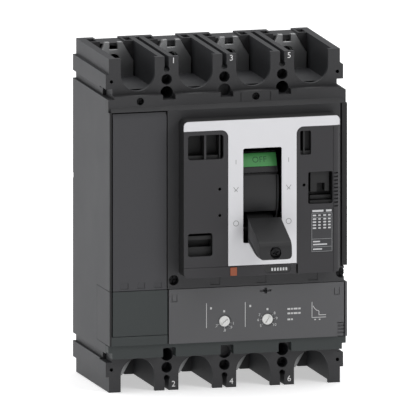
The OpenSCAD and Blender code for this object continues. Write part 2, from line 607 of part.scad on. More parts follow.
module trip_bar() color("#d8d4c8") union() {
    bar_x(bar_d, bar_z, 8, [-86.5, 86.5]);
    for (x = POLE_X) {
        block([x - 3, x + 3], [53.5, bar_d], [bar_z - 1, bar_z + 2]);
        block([x - 3, x + 3], [bar_d - 1.5, bar_d + 1.5], [bar_z - 14, bar_z]);
    }
}

module push_to_trip_button() color("#b96548") union() {
    block([button_x - 2.6, button_x + 2.6], [nose_d - 5, nose_d + 0.4],
        [button_z - button_h / 2, button_z + button_h / 2]);
    block([button_x - 4, button_x + 4], [nose_d - 5.2, nose_d - 3.7], [button_z - 3.8, button_z + 3.8]);
    bar_y(button_x, button_z, 4, [96.5, nose_d - 4]);
}

module button_spring() color("#c9c9c4") for (i = [0 : 5])
    translate([button_x, -(cover_d + 0.8 + 1.55 * i), button_z]) rotate([90, 0, 0])
        rotate_extrude() translate([3, 0]) circle(d = 0.7, $fn = 16);

module setting_dial(x, angle) color("#d9d9d7") difference() {
    union() {
        bar_y(x, dial_z, dial, [cover_d - 4.5, cover_d + 0.3]);
        bar_y(x, dial_z, 4.4, [cover_d - 9.5, cover_d - 4]);
    }
    // arrow-ended slot
    translate([x, -cover_d, dial_z]) rotate([0, -angle, 0]) {
        translate([-2.8, -1, -0.5]) cube([5.6, 1.6, 1]);
        rotate([90, 0, 0]) translate([0, 0, -0.6]) linear_extrude(2)
            polygon([[2.8, -1.3], [3.6, 0], [2.8, 1.3], [1.6, 0]]);
    }
}
module long_time_dial() setting_dial(long_dial_x, 215);
module instantaneous_dial() setting_dial(short_dial_x, 60);

base_case();
middle_case();
case_screws();
main_cover();
neutral_cover();
lower_cover();
nose_cover();
escutcheon();
trip_unit_case();
trip_unit_cover();
trip_unit_neutral_cover();
rating_plate();
name_plate();
cover_screws();
lower_cover_screws();
terminal_nuts();
sealing_screw();
for (i = [0 : 3]) {
    upper_terminal(POLE_X[i]);
    lower_terminal(POLE_X[i]);
    arc_chute(POLE_X[i]);
    rotor(POLE_X[i]);
    contact_bridge(POLE_X[i]);
    armature(POLE_X[i]);
}
rotor_rods();
mechanism_frame();
mechanism_spacers();
toggle_pivot_pin();
toggle_yoke();
toggle_shield();
toggle_lever();
toggle_extension();
toggle_screw();
off_flag();
on_flag();
bimetals();
magnet_yokes();
armature_rod();
trip_bar();
push_to_trip_button();
button_spring();
long_time_dial();
instantaneous_dial();
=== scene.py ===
"""Looks of a four-pole molded case breaker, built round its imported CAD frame.

The front faces -Y, +Z is up, and the origin is the centre of the back mounting plane.
"""
import math

import bmesh
import bpy
from mathutils import Matrix, Vector


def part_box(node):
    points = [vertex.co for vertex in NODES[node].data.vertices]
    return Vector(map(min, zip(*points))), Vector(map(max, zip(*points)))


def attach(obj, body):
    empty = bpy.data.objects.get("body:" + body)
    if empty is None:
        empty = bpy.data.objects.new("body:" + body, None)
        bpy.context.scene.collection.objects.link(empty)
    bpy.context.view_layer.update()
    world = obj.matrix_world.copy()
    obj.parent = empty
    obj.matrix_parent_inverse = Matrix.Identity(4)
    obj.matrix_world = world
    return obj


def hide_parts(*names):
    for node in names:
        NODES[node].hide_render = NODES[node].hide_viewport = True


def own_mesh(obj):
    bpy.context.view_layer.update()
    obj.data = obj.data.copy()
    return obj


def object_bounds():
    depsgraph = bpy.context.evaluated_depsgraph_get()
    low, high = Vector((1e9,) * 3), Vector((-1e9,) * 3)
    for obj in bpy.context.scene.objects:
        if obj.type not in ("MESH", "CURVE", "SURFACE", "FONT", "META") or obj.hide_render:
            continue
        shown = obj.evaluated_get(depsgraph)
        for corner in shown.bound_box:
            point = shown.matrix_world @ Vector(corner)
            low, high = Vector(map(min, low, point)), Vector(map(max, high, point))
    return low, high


bl_info = {
    "name": "Molded case breaker",
    "version": (1, 0, 0),
    "blender": (4, 5, 0),
    "location": "3D View > Sidebar > Breaker",
    "description": "Builds the visible pieces and finishes of a four-pole molded case breaker",
    "category": "Add Mesh",
}

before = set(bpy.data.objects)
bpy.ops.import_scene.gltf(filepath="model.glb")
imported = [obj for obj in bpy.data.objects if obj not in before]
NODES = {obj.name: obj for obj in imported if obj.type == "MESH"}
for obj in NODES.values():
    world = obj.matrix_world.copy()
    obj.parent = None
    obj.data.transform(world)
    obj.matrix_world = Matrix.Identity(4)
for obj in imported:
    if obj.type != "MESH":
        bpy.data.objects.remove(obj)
CAD_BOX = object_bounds()

MM = 0.001
POLES = ("n", "l1", "l2", "l3")


def depth(node):
    """Distance of a node's front from the back mounting plane, in millimetres."""
    return -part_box(node)[0][1] / MM


# Millimetres and degrees. A depth is forward of the back mounting plane.
INK = 0.04                   # how far printed marks stand proud
INK_ROOT = 0.02              # how far they reach into the surface below
TERMINAL_DEPTH = 95.5
UNIT_DEPTH = depth("trip_unit_cover")
NOSE_DEPTH = depth("nose_cover")
WHITE_DEPTH = depth("escutcheon")
PLATE_DEPTH = depth("rating_plate")
NAME_DEPTH = depth("name_plate")
FLAG_RADIUS = 57.5
FLAG_ANGLE = 46.5            # middle of a flag, above or below the toggle's own axis
PIVOT_DEPTH, PIVOT_HEIGHT = 60, 26
DROOP = 23.5                 # angle of the toggle below level in the off position
TOGGLE_X = 22.5
RIM_X, RIM_DEPTH = 89.8, 102       # rims of the case beside the covers, whose front faces get painted shade
END_HEIGHT = 96              # the terminal ends of the case begin this far from the middle; their front faces get painted shade
WINDOW_RECESS = 1.3          # floors of the nose's accessory windows lie deeper than this; the nose's faces behind it get painted shade
RIGHT_SKIN_X = 79.4          # inner face of the nose's right skin
UNIT_SIDE_X = -92            # outer side of the trip unit's neutral cover
# front faces of the unit cover's step beyond these get painted shade
UNIT_STEP_X, UNIT_STEP_HEIGHT = -90.8, -83.6
DIAL_HEIGHT = -74.7
DIAL_X = {"long_time_dial": -3.05, "instantaneous_dial": 30.4}
DIAL_FIGURES = {
    "long_time_dial": ((209, ".7"), (270, ".8"), (314, ".9"), (343, "1")),
    "instantaneous_dial": ((223, "5"), (182, "6"), (150, "7"), (39, "8"), (3, "9"), (-40, "10")),
}
TICK_RADII = (4.7, 5.4)
FIGURE_RADII = (7.2, 7.0)    # the figures stand on a slightly flattened ring
SYMBOL_X = (1.9, 42.9)
SYMBOL_STROKE = 0.5
RULE_STROKE = 0.3

WELD_MM = 0.002              # points closer than this become one
FLAT_ANGLE = 0.5             # faces that meet at less than this many degrees become one
BEVEL_ANGLE = 40             # edges sharper than this get a radius
SMOOTH_ANGLE = 35            # edges blunter than this are shaded smooth
TYPE_SIZE = 1.42             # type size over the height of its capitals

CLOUD_MM = 38                # cloudiness of tone in a moulding
GRAIN_MM = 0.45              # eroded grain, drawn coarser than a real one so that it shows
GRAIN_DEPTH_MM = 0.03
STREAK_MM = 0.6              # rolling streaks, drawn coarser than real ones so that they show
STREAK_STRETCH = 0.06        # scale of a streak along the sheet, against across it
STREAK_DEPTH_MM = 0.02
STAMPED_EDGE_MM = 0.15

CAMERA_AZIMUTH, CAMERA_ELEVATION = -15, 10
CAMERA_DISTANCE = 1.2        # metres
CAMERA_SCALE = 0.3160        # metres across the view
CAMERA_SHIFT = (13.83, -7.99)


# ---- Colour and node helpers ----

def srgb(code):
    """A hex colour as the linear values that shaders use."""
    channels = [int(code[i:i + 2], 16) / 255 for i in (1, 3, 5)]
    return [c / 12.92 if c <= 0.04045 else ((c + 0.055) / 1.055) ** 2.4 for c in channels] + [1.0]


def add(tree, kind, values=None, **links):
    """Adds one node. Values name sockets or attributes, and a link is a socket to read from.

    A socket is given by name, or by number where names repeat, which a link writes as _0."""
    node = tree.nodes.new(kind)
    for name, value in (values or {}).items():
        if isinstance(name, int) or name in node.inputs:
            node.inputs[name].default_value = value
        else:
            setattr(node, name, value)
    for name, source in links.items():
        key = int(name[1:]) if name[0] == "_" else name.replace("_", " ")
        tree.links.new(source, node.inputs[key])
    return node


def new_material(name):
    """Material with its node tree, its shader and the object's own coordinates."""
    material = bpy.data.materials.new(name)
    material.use_nodes = True
    tree = material.node_tree
    shader = tree.nodes["Principled BSDF"]
    place = add(tree, "ShaderNodeTexCoord").outputs["Object"]
    return material, tree, shader, place


def per_metre(size_mm):
    """Texture scale that repeats once in a size given in millimetres."""
    return 1 / (size_mm * MM)


def tint(tree, factor, low, high):
    """Colour that runs between two linear colours with a factor."""
    return add(tree, "ShaderNodeMix", {"data_type": "RGBA", 6: low, 7: high}, _0=factor).outputs[2]


def edge_normal(tree, radius_mm):
    """Normal softened at edges by the small radius that a mould or a die leaves."""
    return add(tree, "ShaderNodeBevel", {"samples": 6, "Radius": radius_mm * MM}).outputs["Normal"]


def dress(tree, shader, tone, polish, bump):
    """Feeds a shader with its colour, its roughness and its surface relief."""
    tree.links.new(tone, shader.inputs["Base Color"])
    tree.links.new(polish.outputs["Result"], shader.inputs["Roughness"])
    tree.links.new(bump.outputs["Normal"], shader.inputs["Normal"])


# ---- Materials ----

def moulded_plastic(name, colour, shade, roughness, grain=0.25, edge=0.25, coat=0.0):
    """Injection-moulded plastic from a spark-eroded tool: an even matt grain, with a slight
    cloudiness of tone where the glass fibre or the filler lies differently."""
    material, tree, shader, place = new_material(name)
    cloud = add(tree, "ShaderNodeTexNoise", {"Scale": per_metre(CLOUD_MM), "Detail": 3.0, "Roughness": 0.55},
                Vector=place)
    pits = add(tree, "ShaderNodeTexNoise", {"Scale": per_metre(GRAIN_MM), "Detail": 2.0}, Vector=place)
    polish = add(tree, "ShaderNodeMapRange", {"To Min": roughness - 0.05, "To Max": roughness + 0.07},
                 Value=cloud.outputs["Fac"])
    bump = add(tree, "ShaderNodeBump", {"Strength": grain, "Distance": GRAIN_DEPTH_MM * MM},
               Height=pits.outputs["Fac"], Normal=edge_normal(tree, edge))
    dress(tree, shader, tint(tree, cloud.outputs["Fac"], srgb(shade), srgb(colour)), polish, bump)
    shader.inputs["IOR"].default_value = 1.5
    shader.inputs["Coat Weight"].default_value = coat
    shader.inputs["Coat Roughness"].default_value = 0.25
    return material


def plated_metal(name, colour, shade, roughness):
    """Stamped and plated metal: a satin surface with fine rolling streaks and faint clouding."""
    material, tree, shader, place = new_material(name)
    stretched = add(tree, "ShaderNodeMapping", {"Scale": (1.0, 1.0, STREAK_STRETCH)}, Vector=place)
    streaks = add(tree, "ShaderNodeTexNoise", {"Scale": per_metre(STREAK_MM), "Detail": 3.0},
                  Vector=stretched.outputs["Vector"])
    cloud = add(tree, "ShaderNodeTexNoise", {"Scale": per_metre(9), "Detail": 2.0}, Vector=place)
    polish = add(tree, "ShaderNodeMapRange", {"To Min": roughness - 0.07, "To Max": roughness + 0.09},
                 Value=streaks.outputs["Fac"])
    bump = add(tree, "ShaderNodeBump", {"Strength": 0.12, "Distance": STREAK_DEPTH_MM * MM},
               Height=streaks.outputs["Fac"], Normal=edge_normal(tree, STAMPED_EDGE_MM))
    dress(tree, shader, tint(tree, cloud.outputs["Fac"], srgb(shade), srgb(colour)), polish, bump)
    shader.inputs["Metallic"].default_value = 1.0
    return material


def printed_ink(name, colour, shade):
    """Pad-printed ink: a thin, slightly uneven film with a soft sheen."""
    material, tree, shader, place = new_material(name)
    patches = add(tree, "ShaderNodeTexNoise", {"Scale": per_metre(1.2), "Detail": 2.0}, Vector=place)
    tree.links.new(tint(tree, patches.outputs["Fac"], srgb(shade), srgb(colour)), shader.inputs["Base Color"])
    shader.inputs["Roughness"].default_value = 0.55
    shader.inputs["IOR"].default_value = 1.5
    return material


def make_materials():
    """One finish for each real material on the breaker."""
    return {
        # black-grey glass-filled polyamide, matt from a spark-eroded mould; each batch has its own tone
        "case": moulded_plastic("glass_filled_polyamide_case", "#333437", "#2D2E31", 0.58),
        "cover": moulded_plastic("glass_filled_polyamide_cover", "#2D2D2F", "#272729", 0.58),
        "neutral": moulded_plastic("glass_filled_polyamide_neutral_cover", "#39393C", "#333336", 0.58),
        # greener batch of the same plastic on the neutral parts of the trip unit
        "green_grey": moulded_plastic("glass_filled_polyamide_neutral", "#2F3434", "#2A2F2F", 0.58),
        # polyamide with less glass on the nose, a little smoother
        "nose": moulded_plastic("polyamide_nose", "#29282B", "#242326", 0.54),
        # paler polycarbonate of the trip unit's front, with a finer grain
        "unit": moulded_plastic("polycarbonate_trip_unit", "#515153", "#4B4B4D", 0.52, grain=0.18),
        # glossy white polycarbonate of the escutcheon, from a polished mould
        "white": moulded_plastic("white_polycarbonate", "#DADADD", "#D4D4D7", 0.36, grain=0.05, coat=0.15),
        # smooth polyamide of the toggle, its edges rounded for the hand
        "toggle": moulded_plastic("polyamide_toggle", "#19191B", "#141416", 0.48, grain=0.15, edge=0.5),
        # polyamide of the curved shield, smooth where it slides
        "shield": moulded_plastic("polyamide_shield", "#1B1B1D", "#171719", 0.50, grain=0.12),
        # unfilled black thermoset of the inner parts, pressed and dull; the same black is also painted shade
        # on shaded faces of the case and shells and on the toggle's stem
        "inside": moulded_plastic("black_thermoset", "#131314", "#0F0F10", 0.62),
        # brown thermoset of the rotors, pressed and left as it comes from the tool
        "rotor": moulded_plastic("brown_thermoset_rotor", "#6E4C3C", "#5F4033", 0.55),
        # coloured polycarbonate of the flags, from a polished mould
        "green": moulded_plastic("green_polycarbonate_flag", "#45924F", "#3D8747", 0.38, grain=0.05),
        "red": moulded_plastic("red_polycarbonate_flag", "#B33A30", "#A6332A", 0.35, grain=0.05),
        # orange polyamide of the push button, nearly smooth
        "orange": moulded_plastic("orange_polyamide_button", "#9E5330", "#944B2A", 0.44, grain=0.1),
        # white acetal of the setting dials, waxy and smooth
        "dial": moulded_plastic("white_acetal_dial", "#DCDCDA", "#D2D2D0", 0.35, grain=0.05),
        # polyester foil of the plates, cut from printed sheet: flat, with a dull shine
        "foil": moulded_plastic("grey_polyester_foil", "#2F2F32", "#2A2A2D", 0.44, grain=0.04, edge=0.1),
        "dark_foil": moulded_plastic("dark_polyester_foil", "#1E1E1F", "#1A1A1B", 0.40, grain=0.04, edge=0.1),
        # electro-tinned copper of the terminals, satin and slightly warm
        "tin": plated_metal("tinned_copper", "#BDBEBF", "#AEAFB0", 0.36),
        # bare drawn copper of the contact bridges
        "copper": plated_metal("drawn_copper", "#C98A5E", "#B97B50", 0.34),
        # rolled bimetal strip, brassy on its active side
        "brass": plated_metal("rolled_bimetal", "#C2AA74", "#B29A66", 0.36),
        # zinc-plated steel, stamped or turned, cool and bright
        "steel": plated_metal("zinc_plated_steel", "#B6B7B6", "#A5A6A5", 0.34),
        # black-oxide steel of the screws, dark with a slight oil sheen
        "dark_steel": plated_metal("black_oxide_steel", "#2A2A2B", "#1E1E1F", 0.42),
        # inks, pad-printed or screened in one thin pass, so that the ground dulls each of them differently
        "ink": printed_ink("white_ink", "#E4E4E4", "#D8D8D8"),
        "pale_ink": printed_ink("pale_grey_ink", "#C6C6C6", "#BABABA"),
        "plate_ink": printed_ink("plate_ink", "#C8C9CA", "#BCBDBE"),
        "rule_ink": printed_ink("thin_rule_ink", "#8E9091", "#828485"),
        "grey_ink": printed_ink("grey_ink", "#9A9B9C", "#8E8F90"),
        "green_ink": printed_ink("dark_green_ink", "#1F5A30", "#1A5029"),
    }


FINISHES = make_materials()


# ---- Mesh helpers ----

def link(obj, finish, body):
    """Puts a piece in the scene with its finish and body."""
    if obj.name not in bpy.context.scene.objects:
        bpy.context.scene.collection.objects.link(obj)
    obj.data.materials.clear()
    obj.data.materials.append(FINISHES[finish])
    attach(obj, body)
    return obj


def mesh_object(name, bm):
    """Object that holds a finished bmesh, which is freed."""
    mesh = bpy.data.meshes.new(name)
    bm.to_mesh(mesh)
    bm.free()
    return bpy.data.objects.new(name, mesh)


def apply_modifiers(obj):
    """Turns an object's modifiers into its own mesh."""
    evaluated = obj.evaluated_get(bpy.context.evaluated_depsgraph_get())
    mesh = bpy.data.meshes.new_from_object(evaluated)
    obj.modifiers.clear()
    obj.data = mesh


def smooth_by_angle(obj, angle=SMOOTH_ANGLE):
    """Shades a piece smooth, and keeps the edges that are sharper than an angle."""
    bpy.context.view_layer.update()
    obj.data.shade_smooth()
    obj.data.set_sharp_from_angle(angle=math.radians(angle))


def moulded_shell(node, finish, body, radius_mm, segments=2):
    """Piece with the node's shape and the small radius that its mould or die leaves on every edge."""
    bm = bmesh.new()
    bm.from_mesh(NODES[node].data)
    return soften(node + "_moulded", bm, finish, body, radius_mm, segments, (node,))


def soften(name, bm, finish, body, radius_mm, segments, replaced):
    """Bevels a mesh and puts it in the place of its nodes."""
    bmesh.ops.remove_doubles(bm, verts=bm.verts, dist=WELD_MM * MM)
    bmesh.ops.dissolve_limit(bm, angle_limit=math.radians(FLAT_ANGLE), verts=bm.verts, edges=bm.edges)
    obj = mesh_object(name, bm)
    bpy.context.scene.collection.objects.link(obj)
    bevel = obj.modifiers.new("edge", "BEVEL")
    bevel.width = radius_mm * MM
    bevel.segments = segments
    bevel.limit_method = "ANGLE"
    bevel.angle_limit = math.radians(BEVEL_ANGLE)
    bevel.miter_outer = "MITER_ARC"
    apply_modifiers(obj)
    smooth_by_angle(obj)
    flat = obj.modifiers.new("flat faces", "WEIGHTED_NORMAL")
    flat.mode = "FACE_AREA"
    flat.weight = 100
    flat.keep_sharp = True
    apply_modifiers(obj)
    link(obj, finish, body)
    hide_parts(*replaced)
    return obj


def second_finish(obj, finish, rule):
    """Gives another finish to the faces that a rule picks by their centre and normal, in millimetres."""
    obj.data.materials.append(FINISHES[finish])
    for face in obj.data.polygons:
        if rule(face.center / MM, face.normal):
            face.material_index = len(obj.data.materials) - 1


def on_surface(surface):
    """Map from across, up and lift to a place. A surface is such a map already, or a depth."""
    if callable(surface):
        return surface
    return lambda x, z, lift: Vector((x, -(surface + lift), z)) * MM


def slab(bm, corners, low, high, place):
    """Thin prism on an outline, between two heights above the surface that place maps to."""
    rings = [[bm.verts.new(place(x, z, lift)) for x, z in corners] for lift in (low, high)]
    bm.faces.new(rings[1])
    bm.faces.new(rings[0][::-1])
    for i in range(len(corners)):
        j = (i + 1) % len(corners)
        bm.faces.new((rings[0][i], rings[0][j], rings[1][j], rings[1][i]))


def printed(name, outlines, ink, surface):
    """Printed film on the case, made of flat outlines that stand a little proud of a surface."""
    bm = bmesh.new()
    for corners in outlines:
        slab(bm, corners, -INK_ROOT, INK, on_surface(surface))
    bmesh.ops.recalc_face_normals(bm, faces=bm.faces)
    return link(mesh_object(name, bm), ink, "case")


def box_outline(x, z, width, height):
    """Rectangle about a centre."""
    w, h = width / 2, height / 2
    return [(x - w, z - h), (x + w, z - h), (x + w, z + h), (x - w, z + h)]


def stroke(start, end, width):
    """Straight stroke between two points."""
    (x0, z0), (x1, z1) = start, end
    length = math.hypot(x1 - x0, z1 - z0)
    nx, nz = -(z1 - z0) / length * width / 2, (x1 - x0) / length * width / 2
    return [(x0 - nx, z0 - nz), (x1 - nx, z1 - nz), (x1 + nx, z1 + nz), (x0 + nx, z0 + nz)]


def path_strokes(points, width):
    """Strokes that follow one another along a path."""
    return [stroke(a, b, width) for a, b in zip(points, points[1:])]


def circle_points(x, z, radius, steps):
    """Points round a circle, with the first one repeated at the end."""
    turns = [math.radians(360 * i / steps) for i in range(steps + 1)]
    return [(x + radius * math.cos(turn), z + radius * math.sin(turn)) for turn in turns]


def lettering(name, text, x, z, height, ink, body, surface):
    """Letters or figures centred on a point, set in plain sans-serif type."""
    curve = bpy.data.curves.new(name, "FONT")
    curve.body = text
    curve.size = height * MM * TYPE_SIZE
    curve.align_x = "CENTER"
    curve.align_y = "CENTER"
    curve.resolution_u = 4
    curve.extrude = INK / 2 * MM
    source = bpy.data.objects.new(name + "_type", curve)
    bpy.context.scene.collection.objects.link(source)
    bpy.context.view_layer.update()
    mesh = bpy.data.meshes.new_from_object(source.evaluated_get(bpy.context.evaluated_depsgraph_get()))
    bpy.data.objects.remove(source)
    place = on_surface(surface)
    for vert in mesh.vertices:
        vert.co = place(x + vert.co.x / MM, z + vert.co.y / MM, vert.co.z / MM + INK / 2)
    return link(bpy.data.objects.new(name, mesh), ink, body)


# ---- Sizes and colours to choose ----

def edge_size(title, about, size_mm):
    """Property for the radius on a kind of edge."""
    return bpy.props.FloatProperty(
        name=title, description=about, default=size_mm * MM, min=0.05 * MM, max=1.0 * MM, unit="LENGTH")


class BreakerSettings(bpy.types.PropertyGroup):
    """Sizes and colours a user may change."""
    shell_edge: edge_size("Shell edges", "Radius on the edges of the moulded shells", 0.35)
    terminal_edge: edge_size("Terminal edges", "Radius on the edges of the terminal plates", 0.45)
    toggle_edge: edge_size("Toggle edges", "Radius on the edges of the toggle's handle", 0.7)
    floor_colour: bpy.props.FloatVectorProperty(
        name="Floor colour", description="Colour of the studio floor where it is palest",
        subtype="COLOR", size=4, default=srgb("#F6F6F7"), min=0, max=1)


def chosen():
    """The sizes and colours in use."""
    return bpy.context.scene.breaker


# ---- Operators ----

def lamp(name, place, target, size, power):
    """Round soft light that faces a point."""
    data = bpy.data.lights.new(name, "AREA")
    data.shape = "DISK"
    data.size = size
    data.energy = power
    obj = bpy.data.objects.new(name, data)
    obj.location = place
    obj.rotation_euler = (Vector(target) - Vector(place)).to_track_quat("-Z", "Y").to_euler()
    bpy.context.scene.collection.objects.link(obj)


def parallel_camera():
    """Camera without perspective, above and to the left of the front."""
    azimuth, elevation = math.radians(CAMERA_AZIMUTH), math.radians(CAMERA_ELEVATION)
    back = Vector((math.sin(azimuth) * math.cos(elevation), -math.cos(azimuth) * math.cos(elevation),
                   math.sin(elevation)))
    right = Vector((math.cos(azimuth), math.sin(azimuth), 0))
    up = back.cross(right)
    data = bpy.data.cameras.new("camera")
    data.type = "ORTHO"
    data.ortho_scale = CAMERA_SCALE
    camera = bpy.data.objects.new("camera", data)
    centre = right * CAMERA_SHIFT[0] * MM + up * CAMERA_SHIFT[1] * MM
    turn = Matrix((right, up, back)).transposed().to_4x4()
    camera.matrix_world = Matrix.Translation(centre + back * CAMERA_DISTANCE) @ turn
    bpy.context.scene.collection.objects.link(camera)
    return camera


class BREAKER_OT_stage(bpy.types.Operator):
    """Pale floor, soft lights and the camera"""
    bl_idname = "breaker.stage"
    bl_label = "Studio stage"

    def execute(self, context):
        scene = context.scene
        bm = bmesh.new()
        bmesh.ops.create_grid(bm, x_segments=8, y_segments=8, size=6.0)
        floor = mesh_object("studio_floor", bm)
        scene.collection.objects.link(floor)
        floor.location.z = CAD_BOX[0][2]
        # matt painted board, rolled on, with a faint unevenness of tone
        material, tree, shader, place = new_material("pale_floor_paint")
        mottle = add(tree, "ShaderNodeTexNoise", {"Scale": 3.0, "Detail": 2.0}, Vector=place)
        paint = tint(tree, mottle.outputs["Fac"], srgb("#F2F2F3"), chosen().floor_colour)
        tree.links.new(paint, shader.inputs["Base Color"])
        shader.inputs["Roughness"].default_value = 0.9
        # lit from within like a light table, so that only a faint shadow is left
        shader.inputs["Emission Color"].default_value = (1, 1, 1, 1)
        shader.inputs["Emission Strength"].default_value = 0.5
        floor.data.materials.append(material)

        world = bpy.data.worlds.new("studio")
        world.use_nodes = True
        background = world.node_tree.nodes["Background"]
        background.inputs["Color"].default_value = (1, 1, 1, 1)
        background.inputs["Strength"].default_value = 0.3
        scene.world = world
        scene.view_settings.view_transform = "Standard"

        lamp("key", (1.1, -1.3, 1.0), (0, -0.1, 0), 0.8, 11)
        lamp("left_strip", (-1.5, 0.35, 0.3), (-0.1, -0.05, 0), 0.9, 4.4)
        lamp("ceiling", (0, 0.9, 2.4), (0, 0.9, 0), 4.2, 60)
        scene.camera = parallel_camera()
        return {"FINISHED"}


class BREAKER_OT_cad_finishes(bpy.types.Operator):
    """Finishes of the parts that keep their CAD shape, and smooth shading for them all"""
    bl_idname = "breaker.cad_finishes"
    bl_label = "Finishes of plain parts"

    def execute(self, context):
        finishes = {"trip_unit_case": "inside", "bimetals": "brass", "trip_bar": "dial"}
        finishes.update(dict.fromkeys(
            ("rotor_rods", "mechanism_frame", "mechanism_spacers", "toggle_pivot_pin", "toggle_yoke",
             "magnet_yokes", "armature_rod"), "steel"))
        for pole in POLES:
            finishes.update({
                "arc_chute_" + pole: "steel", "rotor_" + pole: "rotor",
                "contact_bridge_" + pole: "copper", "armature_" + pole: "steel"})
        for node, obj in NODES.items():
            obj.data.materials.clear()
            obj.data.materials.append(FINISHES[finishes.get(node, "case")])
            smooth_by_angle(obj)
        return {"FINISHED"}


class BREAKER_OT_case(bpy.types.Operator):
    """Base and middle case drawn as one moulding, without the joint line between them"""
    bl_idname = "breaker.case"
    bl_label = "Case"

    def execute(self, context):
        halves = []
        for node in ("base_case", "middle_case"):
            half = bpy.data.objects.new(node + "_half", NODES[node].data.copy())
            context.scene.collection.objects.link(half)
            halves.append(half)
        union = halves[0].modifiers.new("flush", "BOOLEAN")
        union.operation = "UNION"
        union.solver = "EXACT"
        union.object = halves[1]
        apply_modifiers(halves[0])
        bm = bmesh.new()
        bm.from_mesh(halves[0].data)
        for half in halves:
            bpy.data.objects.remove(half)
        shell = soften("case_moulded", bm, "case", "case", chosen().shell_edge / MM, 2,
                       ("base_case", "middle_case"))
        # front faces of the case rims beside the covers take the black as painted shade
        second_finish(shell, "inside", lambda c, n: n.y < -0.9 and abs(c.x) > RIM_X and -c.y > RIM_DEPTH)
        # front-facing faces of the terminal ends take the darker cover plastic as painted shade
        second_finish(shell, "cover", lambda c, n: n.y < -0.3 and abs(c.z) > END_HEIGHT)
        return {"FINISHED"}


SHELLS = (
    ("main_cover", "cover", "dark_polyamide"), ("neutral_cover", "neutral", "dark_polyamide"),
    ("lower_cover", "green_grey", "greenish_polyamide"), ("nose_cover", "nose", "dark_polyamide"),
    ("escutcheon", "white", "white_polycarbonate"), ("trip_unit_cover", "unit", "grey_polycarbonate"),
    ("trip_unit_neutral_cover", "green_grey", "greenish_polyamide"),
)


class BREAKER_OT_shells(bpy.types.Operator):
    """Covers, nose and escutcheon with moulded edges"""
    bl_idname = "breaker.shells"
    bl_label = "Covers"

    def execute(self, context):
        for node, finish, slot in SHELLS:
            shell = moulded_shell(node, finish, "case", chosen().shell_edge / MM)
            if node == "nose_cover":
                # the nose's recessed faces, its window floors and side walls, take the black as painted shade
                second_finish(shell, "inside",
                              lambda c, n: -c.y < NOSE_DEPTH - WINDOW_RECESS and c.x < RIGHT_SKIN_X)
            if node == "trip_unit_neutral_cover":
                second_finish(shell, "case", lambda c, n: n.x < -0.5 and c.x < UNIT_SIDE_X)
                # front faces of the left step take the black as painted shade
                second_finish(shell, "inside",
                              lambda c, n: n.y < -0.5 and c.x < UNIT_STEP_X and c.z > UNIT_STEP_HEIGHT)
        return {"FINISHED"}


class BREAKER_OT_terminals(bpy.types.Operator):
    """Tinned terminal plates with stamped edges, and the nuts behind them"""
    bl_idname = "breaker.terminals"
    bl_label = "Terminals"

    def execute(self, context):
        for pole in POLES:
            for end in ("upper", "lower"):
                moulded_shell(f"{end}_terminal_{pole}", "tin", "case",
                              chosen().terminal_edge / MM)
        moulded_shell("terminal_nuts", "steel", "case", 0.4)
        return {"FINISHED"}


def flag_surface(angle):
    """Maps flat lettering onto the drum, about an angle above the toggle's own axis."""
    def place(x, z, up):
        turn = math.radians(angle - DROOP) + z / FLAG_RADIUS
        radius = FLAG_RADIUS + up
        return Vector((TOGGLE_X + x, -PIVOT_DEPTH - radius * math.cos(turn),
                       PIVOT_HEIGHT + radius * math.sin(turn))) * MM
    return place


class BREAKER_OT_toggle(bpy.types.Operator):
    """Toggle extension, stem, shield, screw and flags"""
    bl_idname = "breaker.toggle"
    bl_label = "Toggle"

    def execute(self, context):
        moulded_shell("toggle_extension", "toggle", "toggle", chosen().toggle_edge / MM, 3)
        # the stem is drawn black as painted shade in the deep gap between shield and extension
        moulded_shell("toggle_lever", "inside", "toggle", 0.3)
        moulded_shell("toggle_shield", "shield", "toggle", 0.3)
        moulded_shell("toggle_screw", "dark_steel", "toggle", 0.2)
        moulded_shell("off_flag", "green", "toggle", 0.15)
        moulded_shell("on_flag", "red", "toggle", 0.15)
        for name, text, angle, ink in (("off_lettering", "OFF", FLAG_ANGLE, "green_ink"),
                                       ("on_lettering", "ON", -FLAG_ANGLE, "ink")):
            lettering(name, text, 0, 0, 4.6, ink, "toggle", flag_surface(angle))
        return {"FINISHED"}


class BREAKER_OT_small_parts(bpy.types.Operator):
    """Screws, dials, plates and the push-to-trip button"""
    bl_idname = "breaker.small_parts"
    bl_label = "Small parts"

    def execute(self, context):
        for node in ("cover_screws", "lower_cover_screws", "sealing_screw"):
            moulded_shell(node, "dark_steel", "case", 0.15)
        moulded_shell("case_screws", "steel", "case", 0.15)
        for dial in DIAL_X:
            moulded_shell(dial, "dial", dial, 0.2)
        moulded_shell("push_to_trip_button", "orange", "trip_button", 0.25)
        moulded_shell("rating_plate", "foil", "case", 0.05, 1)
        moulded_shell("name_plate", "dark_foil", "case", 0.05, 1)
        return {"FINISHED"}


